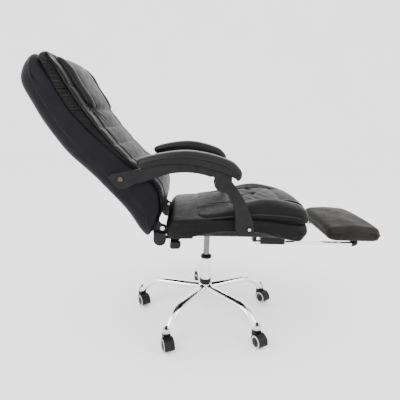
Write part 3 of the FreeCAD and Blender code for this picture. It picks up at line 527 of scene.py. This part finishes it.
# Near-black brown steel on the arm's rear bolts: painted shade that stands in for the dark recesses they sit
# in.
BOLT_SHADE_STEEL = Finish("bolt_steel_painted_shade", (0.06, 0.04, 0.03), (0.11, 0.075, 0.055), (0.35, 0.5), metal=1.0)
PAINT = Finish("painted_steel", (0.005, 0.005, 0.0055), (0.01, 0.01, 0.0105), (0.3, 0.45), relief=0.12,
               shine=0.14)
PLASTIC = Finish(
    "moulded_plastic", (0.0045, 0.0045, 0.005), (0.009, 0.009, 0.0095), (0.3, 0.44), scale=900, relief=0.12,
    depth=0.0002, shine=0.14,
)
TREAD = Finish("grey_tread", (0.36, 0.36, 0.37), (0.5, 0.5, 0.51), (0.35, 0.55), relief=0.1)
WOOD = Finish(
    "plywood", (0.42, 0.29, 0.17), (0.6, 0.45, 0.29), (0.5, 0.7), scale=120, relief=0.25, depth=0.0006
)


def dressed(
    thing: bpy.types.Object,
    finish: Finish,
    body: str,
    stands_for: tuple[str, ...] = (),
) -> bpy.types.Object:
    """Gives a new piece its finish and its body.

    Args:
        thing: the piece.
        finish: what it is covered with.
        body: the body that it rides on.
        stands_for: the construction nodes that it is shown in place of.

    Returns:
        The piece.
    """
    thing.data.materials.append(finish.material())
    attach(thing, body)
    if stands_for:
        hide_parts(*stands_for)
    return thing


def cord_round(name: str, paths: list[np.ndarray], radius: float, body: str) -> bpy.types.Object:
    """Piping of this radius along paths, riding on body, in lighter leather that paints a highlight along the
    cord.
    """
    grids = [tube(path, radius, radius, 10) for path in paths]
    return dressed(built(name, grids), PIPING_PAINTED_HIGHLIGHT, body)


@dataclass
class Back:
    """The reclining back: shell, quilted cushion with gathered sides, and headrest."""

    half: float = 0.250
    band: float = 0.012
    panel: float = 0.172
    channel: float = 0.0045
    crown: float = 0.30
    inset: float = 0.003
    pitch: float = 0.0135
    pleat: float = 0.0085
    fan_at: tuple[float, float] = (-463, 975)
    shell_front: list[tuple[float, float]] = field(
        default_factory=lambda: [
            (-215, 534), (-197, 604), (-225, 694), (-330, 772), (-445, 874), (-545, 983), (-622, 1122),
        ]
    )
    shell_rear: list[tuple[float, float]] = field(
        default_factory=lambda: [
            (-716, 1066), (-671, 961), (-592, 838), (-500, 747), (-407, 655), (-331, 565), (-266, 476),
        ]
    )
    seams: list[tuple[float, float]] = field(
        default_factory=lambda: [
            (-203, 545), (-186, 652), (-240, 727), (-306, 778), (-360, 836), (-411, 900), (-458, 968),
            (-511, 1050), (-566, 1132),
        ]
    )

    def shell(self) -> None:
        """The shell, smooth at the rear, with a faint sag between its seams."""
        controls = [(-238, 488)] + self.shell_front + [(-674, 1153)] + self.shell_rear
        form = Pillow(loop(controls, len(self.shell_front) + 1, 130), self.half + 0.001, (0.030, 0.052),
                      corner=(0.040, 0.072), bulge=0.006)
        grid = form.grid()
        sag = 0.0025 * np.sin(grid.run * 11 + 3 * grid.y) * np.sin(grid.run * 23 + 1)
        points = raised(grid.points, sag * grid.depth * (1 - 0.7 * grid.near))
        dressed(built("back_shell_cover", [points]), SHELL_LEATHER_PAINTED_SHEEN, "back",
                ("back_shell",))

    def cushion_form(self) -> Pillow:
        """The cushion's plain form, lying on the shell's front."""
        rear = [(x - 4, z - 4) for x, z in reversed(self.shell_front)]
        controls = [(-214, 537)] + self.seams + [(-612, 1162), (-640, 1150)] + rear[:-1]
        return Pillow(loop(controls, len(self.seams) + 1, 330), self.half - 0.008, (0.010, 0.004),
                      corner=(0.02, 0.035), bulge=0.0, rings=20, arc=8, across=90)

    def fan(self, form: Pillow, grid: Grid) -> np.ndarray:
        """Folds that spread from under the headrest's lower corners, in metres of relief."""
        y = np.abs(grid.y)
        hem = form.mark(*self.fan_at)
        reach = np.hypot(grid.run - hem, y - 0.150)
        angle = np.arctan2(hem - grid.run, 0.152 - y)
        fan = np.sin(angle * 13) * np.exp(-((reach / 0.07) ** 2)) * step(0.0, 0.02, reach)
        return 0.0022 * fan * (grid.run < hem + 0.01)

    def crowned(self, points: np.ndarray, form: Pillow, grid: Grid) -> None:
        """Draws the front in towards the rear, most at the sides, so that the middle stands out."""
        crown = step(0.0, 1.0, np.abs(grid.y) / self.half) * self.crown
        across = form.outline - form.outline[form.facing()]
        thick = np.linalg.norm(across, axis=1, keepdims=True)
        drop = grid.near * grid.depth * (thick.T * crown + self.inset)
        points[..., [0, 2]] -= drop[..., None] * across / np.maximum(thick, 1e-6)

    def gathered(self, points: np.ndarray, grid: Grid) -> np.ndarray:
        """The side bands: leant in towards the front and pleated, more so near the top and the foot."""
        share = grid.run / grid.run.max()
        wall = step(self.half - 0.031, self.half - 0.009, np.abs(grid.y))
        strength = 0.35 + 0.65 * np.maximum(step(0.45, 0.7, share), step(0.32, 0.12, share))
        pleats = gathers(grid.run, grid.front, self.pitch)
        open_ends = np.sin(math.pi * np.clip(grid.front, 0.02, 0.98)) ** 0.5
        lean = -self.band * step(0.25, 1.0, grid.front)
        points[..., 1] += np.sign(grid.y) * wall * (lean + self.pleat * (pleats * strength) * open_ends)
        return raised(points, 0.003 * wall * (pleats - 0.5) * grid.near)

    def cushion(self) -> None:
        """The cushion with its channels, bolsters and gathered side bands, and the piping between."""
        form = self.cushion_form()
        grid = form.grid()
        y = np.abs(grid.y)
        seams = np.array([form.mark(x, z) for x, z in self.seams])
        face = grid.near * (grid.depth >= 1)
        inner = step(self.panel + 0.006, self.panel - 0.012, y)
        cells = puffs(grid.run, seams)
        strip = cells * 0.004 * puffs(y, np.array([0.0, self.panel, self.half - self.band]))
        line = -0.005 * bump(y, self.panel, 0.004)
        relief = self.channel * cells * inner + strip * (1 - inner) + line + self.fan(form, grid)
        points = raised(grid.points, face * relief)
        self.crowned(points, form, grid)
        points = self.gathered(points, grid)
        dressed(built("back_cushion_cover", [points]), LEATHER, "back",
                ("back_cushion",))
        off_face = 9 * (1 - grid.near[0])
        start, end = (int(np.argmin(np.abs(grid.run[0] - seams[k]) + off_face)) for k in (0, -1))
        paths = rims(points, form.rings + 1, slice(start, end), 0.0015)
        paths = [spaced(spline(path[::6], False, 4), 260) for path in paths]
        cord_round("back_cushion_piping", paths, 0.0026, "back")

    def headrest(self) -> None:
        """The headrest pad with sewn wings at its sides and a piped rim."""
        controls = [
            (-492, 976), (-475, 964), (-466, 980), (-480, 1010), (-501, 1045), (-524, 1082), (-545, 1117),
            (-568, 1142), (-590, 1151), (-606, 1136), (-582, 1090), (-552, 1045), (-520, 1002),
        ]
        form = Pillow(loop(controls, 8, 110), self.panel, (0.026, 0.010), corner=(0.018, 0.022), bulge=0.004,
                      across=110)
        grid = form.grid()
        y = np.abs(grid.y)
        face = grid.near
        wing = -0.005 * bump(y, 0.118, 0.004)
        swell = 0.005 * puffs(y, np.array([-0.118, 0.118, 0.180])) * step(0.02, 0.05, grid.run)
        sag = 0.0016 * np.sin(grid.run * 60 + 20 * y) * step(0.10, 0.16, y)
        points = raised(grid.points, face * (wing + swell + sag) * (grid.depth >= 1))
        points[..., 0] -= face * 0.009 * (grid.y / self.panel) ** 2
        dressed(built("headrest_cover", [points]), LEATHER, "back",
                ("headrest_pad",))
        paths = rims(points, form.rings + 2, slice(8, 100), 0.001)
        cord_round("headrest_piping", [spaced(path, 90) for path in paths], 0.0022, "back")

    def build(self) -> None:
        """Builds and dresses the whole back."""
        self.shell()
        self.cushion()
        self.headrest()


@dataclass
class Seat:
    """The seat: a boxed cushion with a raised, bolstered pad on it."""

    half: float = 0.262
    pad_half: float = 0.245

    def drop(self, grid: Grid) -> np.ndarray:
        """How far the crowned top has fallen at each row."""
        return 0.026 * (grid.y / self.half) ** 2

    def cushion(self) -> None:
        """The lower cushion, with the side panel's seams and arched sides."""
        controls = [
            (-181, 512), (-180, 536), (-168, 556), (-138, 571), (0, 580), (130, 585), (260, 574), (372, 559),
            (392, 551), (397, 530), (397, 515), (391, 500), (374, 475), (335, 470), (100, 470), (-120, 470),
            (-163, 471), (-178, 488),
        ]
        form = Pillow(loop(controls, 10, 200), self.half, (0.024, 0.016), corner=(0.046, 0.046), bulge=0.005,
                      rings=16, across=60)
        grid = form.grid()
        points = grid.points.copy()
        x = points[..., 0]
        arch = 0.038 * step(0.200, 0.245, np.abs(grid.y)) * step(-0.15, 0.06, x) * step(0.37, 0.16, x)
        low = np.clip((0.545 - points[..., 2]) / 0.075, 0, 1)
        points[..., 2] += arch * low - self.drop(grid) * (1 - low)
        wall = step(self.half - 0.012, self.half - 0.001, np.abs(grid.y))
        seam = bump(points[..., 0], -0.056, 0.004) * step(0.530, 0.545, points[..., 2])
        crease = bump(points[..., 2], 0.545, 0.004)
        ripple = 0.0012 * np.sin(points[..., 0] * 90) * np.sin(points[..., 0] * 37 + 1)
        points[..., 1] += np.sign(grid.y) * wall * (ripple - 0.0045 * seam - 0.004 * crease)
        dressed(built("seat_cushion_cover", [points]), LEATHER, "seat",
                ("seat_cushion",))

    def pad(self) -> None:
        """The raised pad: bolsters at the sides, a sewn middle with a tuft, and a front roll."""
        controls = [
            (-55, 572), (-38, 583), (40, 592), (120, 604), (230, 615), (325, 612), (372, 606), (396, 594),
            (406, 573), (397, 554), (300, 562), (150, 575), (0, 570), (-44, 566),
        ]
        form = Pillow(loop(controls, 8, 210), self.pad_half, (0.030, 0.012), corner=(0.062, 0.062),
                      bulge=0.006, rings=12, arc=14, across=110)
        grid = form.grid()
        points = grid.points.copy()
        x, y = points[..., 0], np.abs(grid.y)
        top = grid.near * grid.depth
        bolster = 0.5 + 0.5 * np.cos(math.pi * np.clip((y - 0.185) / 0.085, -1, 1))
        points[..., 2] += top * bolster * 0.026 * bump(x, 0.23, 0.15) - self.drop(grid)
        inner = step(0.150, 0.125, y)
        cross = puffs(x, np.array([-0.06, 0.09, 0.20, 0.31, 0.42]))
        lane = np.abs(y - (0.122 + 0.10 * np.clip(x - 0.20, 0, 0.2)))
        arms = np.abs(y - 0.9 * np.clip(0.20 - x, 0, 0.13))
        tuft = np.exp(-(((x - 0.20) / 0.02) ** 2 + (y / 0.02) ** 2))
        amount = (
            0.007 * cross * inner
            - 0.006 * np.exp(-((lane / 0.005) ** 2)) * step(-0.03, 0.02, x)
            - 0.004 * np.exp(-((arms / 0.005) ** 2)) * step(0.03, 0.06, x) * step(0.23, 0.20, x)
            - 0.010 * tuft
            + 0.0014 * np.sin(x * 150 + 60 * grid.y) * bump(x, 0.20, 0.05) * inner
        )
        points = raised(points, amount * top)
        dressed(built("seat_pad_cover", [points]), LEATHER, "seat",
                ("seat_top_pad",))
        paths = rims(points, form.rings + 1, slice(4, points.shape[1] // 2 - 4), 0.001)
        cord_round("seat_pad_piping", [spaced(path, 160) for path in paths], 0.0032, "seat")

    def build(self) -> None:
        """Builds and dresses the seat."""
        self.cushion()
        self.pad()


@dataclass
class Arm:
    """One armrest's padding, on its frame."""

    side: Side
    middle: float = 0.294
    half: float = 0.036

    def build(self) -> None:
        """The pad with its drooping front, gathers on the nose and piping along both sides."""
        controls = [
            (-281, 779), (-266, 798), (-190, 819), (-100, 830), (-15, 820), (58, 798), (86, 779), (103, 755),
            (101, 733), (89, 723), (76, 733), (30, 752), (0, 762), (-60, 775), (-130, 781), (-200, 775),
            (-262, 761),
        ]
        form = Pillow(loop(controls, 8, 200), self.half, (0.022, 0.012), corner=(0.022, 0.026),
                      middle=self.middle * self.side.value, bulge=0.003, rings=10, arc=12, across=20)
        grid = form.grid()
        nose = step(0.03, 0.09, grid.points[..., 0]) * grid.near
        fold = gathers(grid.run, grid.y * 20, 0.012)
        edge = step(0.012, 0.034, np.abs(grid.y))
        seam = 0.002 * bump(grid.front, 0.62, 0.05) * (grid.depth < 1)
        points = raised(grid.points, nose * edge * 0.0035 * (fold - 0.5) - seam)
        name = f"arm_pad_cover_{self.side.word}"
        dressed(built(name, [points]), ARM_LEATHER, f"arm_{self.side.word}",
                (f"arm_pad_{self.side.word}",))
        paths = rims(points, form.rings - 1, slice(6, 194), 0.0012)
        cord_round(f"arm_piping_{self.side.word}", [spaced(path, 120) for path in paths], 0.0022,
                   f"arm_{self.side.word}")


@dataclass
class Footrest:
    """The footrest's pad and the dark caps on its tube's corners."""

    half: float = 0.186
    bar: float = 0.655
    rail: float = 0.150
    bend: float = 0.032
    level: float = 0.430
    sleeve: float = 0.0112

    def pad(self) -> None:
        """The pad: a crowned top, a seam round its lower band, rounded corners."""
        controls = [
            (512, 481), (515, 500), (530, 515), (580, 521), (625, 524), (675, 520), (720, 514), (736, 500),
            (741, 481), (738, 462), (724, 453), (675, 452), (625, 452), (580, 452), (528, 453), (514, 462),
        ]
        form = Pillow(loop(controls, 8, 130), self.half, (0.026, 0.014), corner=(0.034, 0.034), bulge=0.004,
                      rings=12, across=80)
        grid = form.grid()
        points = grid.points.copy()
        top = grid.near * grid.depth
        points[..., 2] -= 0.008 * top * (grid.y / self.half) ** 2
        seam = bump(points[..., 2], 0.476, 0.0022)
        hill = 0.004 * np.sin(points[..., 0] * 48) * np.sin(grid.y * 31 + 2)
        points = raised(points, 0.3 * hill * top - 0.0035 * seam)
        dressed(built("footrest_pad_cover", [points]), LIGHTER_LEATHER, "footrest_flap",
                ("footrest_pad",))

    def caps(self) -> None:
        """A sleeve over each corner bend of the tube."""
        turn = np.linspace(0.05, math.pi / 2 + 0.15, 24)
        paths = []
        for side in Side:
            centre = side.value * (self.rail - self.bend)
            x = self.bar - self.bend + self.bend * np.sin(turn)
            y = centre + side.value * self.bend * np.cos(turn)
            paths.append(np.stack([x, y, np.full(len(turn), self.level)], 1))
        grids = [tube(path, self.sleeve, self.sleeve, 24) for path in paths]
        dressed(built("footrest_corner_caps", grids), PLASTIC, "footrest_slider")

    def build(self) -> None:
        """Builds and dresses the footrest."""
        self.pad()
        self.caps()


@dataclass
class Base:
    """The five-legged chromed base: arched oval legs that taper to their tips, a hub and ferrules."""

    turn: float = math.radians(22.65)
    legs: int = 5
    start: float = 0.0255
    reach: float = 0.329
    level: float = 0.142
    straight: float = 0.210
    bend: float = 0.127
    angle: float = math.radians(62)

    def leg(self) -> np.ndarray:
        """One leg along X: level, then bent down, its oval section narrowing outwards."""
        turn = np.linspace(0, self.angle, 40)
        x = np.concatenate([np.linspace(self.start, self.straight, 30)[:-1],
                            self.straight + self.bend * np.sin(turn)])
        z = np.concatenate([np.full(29, self.level), self.level - self.bend * (1 - np.cos(turn))])
        path = np.stack([x, np.zeros(len(x)), z], 1)
        share = lengths(path) / lengths(path)[-1]
        return tube(path, 0.0245 - 0.006 * share, 0.018 - 0.003 * share, 40)

    def build(self) -> None:
        """The legs and hub in chrome, and a ferrule at each tip."""
        hub = [(24.6, 116), (30, 116), (33, 118), (34, 122), (34, 152), (32, 158), (28, 163), (24.6, 164),
               (24.6, 116)]
        places = [about_z(self.turn + 2 * math.pi * k / self.legs) for k in range(self.legs)]
        grids = [turned(hub, 64)] + [moved(self.leg(), place) for place in places]
        dressed(built("base_cover", grids), CHROME, "base", ("star_base",))
        ring = [(6, 69), (15, 69), (17, 70.5), (17.4, 74), (17.4, 83), (16.2, 87), (14, 90), (6, 92), (6, 69)]
        collars = [
            moved(turned(ring, 40), place @ Matrix.Translation((self.reach, 0, 0))) for place in places
        ]
        dressed(built("base_ferrules", collars), STEEL, "base")


@dataclass
class Casters:
    """The casters' hub discs; the hoods and wheels are carried over."""

    base: Base
    headings: tuple[float, ...] = (-55.0, -62.0, -58.0, -69.0, -63.0)
    trail: float = 0.022
    axle: float = 0.027
    face: float = 0.0216

    def build(self) -> None:
        """A dished black disc on the outer face of each wheel, hollow behind to clear the axle's end."""
        disc = [
            (0, -0.5), (3.8, -0.5), (3.8, -1), (19.5, -1), (20, 0.2), (19.2, 1.0), (15, 1.0), (13.5, 0.4),
            (9, 0.4), (7.5, 1.6), (6.5, 1.9), (0, 1.9),
        ]
        for number, heading in enumerate(self.headings, start=1):
            turn = self.base.turn + math.radians(72 * (number - 1))
            spot = (self.base.reach * math.cos(turn), self.base.reach * math.sin(turn), 0)
            place = about_z(math.radians(heading), spot)
            for side in Side:
                centre = Matrix.Translation((self.trail, side.value * self.face, self.axle))
                grid = moved(turned(disc, 40), place @ centre @ side.outward)
                name = f"wheel_disc_{side.word}_{number}"
                dressed(built(name, [grid]), PLASTIC, f"wheel_{side.word}_{number}")


@dataclass
class Hardware:
    """The bright domed screws at the strut feet."""

    foot: tuple[float, float] = (0.146, 0.531)
    face: float = 0.2952

    def build(self) -> None:
        """A small dome with a socket on each strut bolt's head."""
        dome = [(0, 0.6), (2.2, 0.6), (2.4, 2.4), (4.2, 2.0), (5.8, 1.0), (6.2, 0), (0, 0)]
        for side in Side:
            spot = (self.foot[0], side.value * self.face, self.foot[1])
            grid = moved(turned(dome, 40), Matrix.Translation(spot) @ side.outward)
            dressed(built(f"strut_screw_{side.word}", [grid]), STEEL, "seat")


@dataclass
class CarriedOver:
    """The construction nodes that are shown as they are, with their finishes and softened edges."""

    finishes: dict[str, Finish] = field(
        default_factory=lambda: {
            "chrome": CHROME, "steel": STEEL, "black_steel": PAINT, "black_plastic": PLASTIC, "tread": TREAD,
            "plywood": WOOD, "black_leather": LEATHER,
        }
    )
    special: dict[str, Finish] = field(
        default_factory=lambda: {
            "gas_lift_piston": PISTON, "arm_rear_bolts": BOLT_SHADE_STEEL, "strut_bolts": PAINT,
        }
    )
    wide_edged: tuple[str, ...] = ("strut_right", "strut_left", "arm_frame")
    fine_edged: tuple[str, ...] = ("hinge_cover", "recline_lever", "caster_hood", "height_lever_grip")
    wide: float = 0.004
    fine: float = 0.0012

    def soften(self, node: bpy.types.Object, width: float) -> None:
        """Rounds the node's sharp edges."""
        edges = node.modifiers.new("edges", "BEVEL")
        edges.width, edges.segments = width, 3
        edges.limit_method = "ANGLE"
        edges.angle_limit = math.radians(38)

    def build(self) -> None:
        """Dresses every node by its slot in the record."""
        slots = {part["node"]: part["material_slot"] for part in frame["record"]["subparts"]}
        for name, node in frame["nodes"].items():
            finish = self.special.get(name, self.finishes[slots[name]])
            node.data.materials.clear()
            node.data.materials.append(finish.material())
            if name.startswith(self.wide_edged):
                self.soften(node, self.wide)
            elif name.startswith(self.fine_edged):
                self.soften(node, self.fine)
            LOG.info("%s carried over as %s", name, finish.name)


@dataclass
class Studio:
    """Floor, light and the camera at the photograph's place."""

    spot: tuple[float, float, float] = (-0.0894, -1.5346, 0.9376)
    yaw: float = -0.0332
    pitch: float = 0.2313
    roll: float = 0.0314
    lens: float = 30.51
    sky: float = 2.6
    floor_tone: float = 0.9

    def camera(self) -> None:
        """The camera, turned by yaw, pitch and roll."""
        level = Vector((-math.sin(self.yaw), math.cos(self.yaw), 0))
        ahead = level * math.cos(self.pitch) - Vector((0, 0, math.sin(self.pitch)))
        right = Vector((math.cos(self.yaw), math.sin(self.yaw), 0))
        up = right.cross(ahead)
        across = right * math.cos(self.roll) + up * math.sin(self.roll)
        over = up * math.cos(self.roll) - right * math.sin(self.roll)
        data = bpy.data.cameras.new("camera")
        data.lens, data.sensor_width = self.lens, 36
        data.clip_start = 0.05
        thing = bpy.data.objects.new("camera", data)
        thing.matrix_world = Matrix((across, over, -ahead)).transposed().to_4x4()
        thing.location = self.spot
        bpy.context.scene.collection.objects.link(thing)
        bpy.context.scene.camera = thing

    def staged(self, name: str, grid: np.ndarray, tone: float) -> None:
        """A matt surface of the stage, from a grid of rows and columns that don't run round."""
        rows, columns = grid.shape[:2]
        start = (np.arange(rows - 1)[:, None] * columns + np.arange(columns - 1)[None, :]).ravel()
        quads = np.stack([start, start + 1, start + columns + 1, start + columns], 1)
        mesh = bpy.data.meshes.new(name)
        mesh.from_pydata(grid.reshape(-1, 3).tolist(), [], quads.tolist())
        mesh.polygons.foreach_set("use_smooth", np.ones(len(mesh.polygons), bool))
        finish = Finish(f"{name}_paint", (tone,) * 3, (min(tone * 1.03, 1.0),) * 3, (0.8, 0.9), scale=20,
                        relief=0.02, shine=0.1)
        mesh.materials.append(finish.material())
        thing = bpy.data.objects.new(name, mesh)
        bpy.context.scene.collection.objects.link(thing)

    def sweep(self) -> None:
        """A level floor that curves up into a backdrop: a quarter circle of 3 m behind the chair."""
        turn = np.linspace(0, math.pi / 2, 40)
        y = np.concatenate([[-9.0, 0.0], 5 + 3 * np.sin(turn), [8.0]])
        z = np.concatenate([[0.0, 0.0], 3 - 3 * np.cos(turn), [9.0]])
        x = np.linspace(-12, 12, 3)
        grid = np.stack(np.broadcast_arrays(x[None, :], y[:, None], z[:, None]), -1)
        self.staged("floor", grid, self.floor_tone)

    def light(self, name: str, spot: tuple, aim: tuple, size: float, power: float) -> None:
        """A square soft box at spot that points at aim."""
        data = bpy.data.lights.new(name, "AREA")
        data.size, data.energy = size, power
        thing = bpy.data.objects.new(name, data)
        thing.location = spot
        thing.rotation_euler = (Vector(aim) - Vector(spot)).to_track_quat("-Z", "Y").to_euler()
        bpy.context.scene.collection.objects.link(thing)

    def build(self) -> None:
        """Sets the stage."""
        self.camera()
        self.sweep()
        world = bpy.data.worlds.new("studio")
        world.use_nodes = True
        world.node_tree.nodes["Background"].inputs["Color"].default_value = (1, 1, 1, 1)
        world.node_tree.nodes["Background"].inputs["Strength"].default_value = self.sky
        bpy.context.scene.world = world
        self.light("key", (-1.9, -2.0, 2.8), (-0.1, 0, 0.6), 2.0, 70)
        self.light("fill", (2.4, -1.2, 2.2), (0.2, 0, 0.5), 1.6, 25)
        self.light("rim", (-0.4, 2.4, 2.6), (-0.2, 0, 0.8), 1.5, 12)


def main() -> None:
    """Builds the chair's looks and the studio."""
    logging.basicConfig(level=logging.INFO, format="%(name)s %(message)s")
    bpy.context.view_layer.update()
    CarriedOver().build()
    base = Base()
    for part in (base, Casters(base), Seat(), Back(), Footrest(), Arm(Side.RIGHT), Arm(Side.LEFT), Hardware(),
                 Studio()):
        part.build()
        LOG.info("%s built", type(part).__name__)


if __name__ == "__main__":
    main()
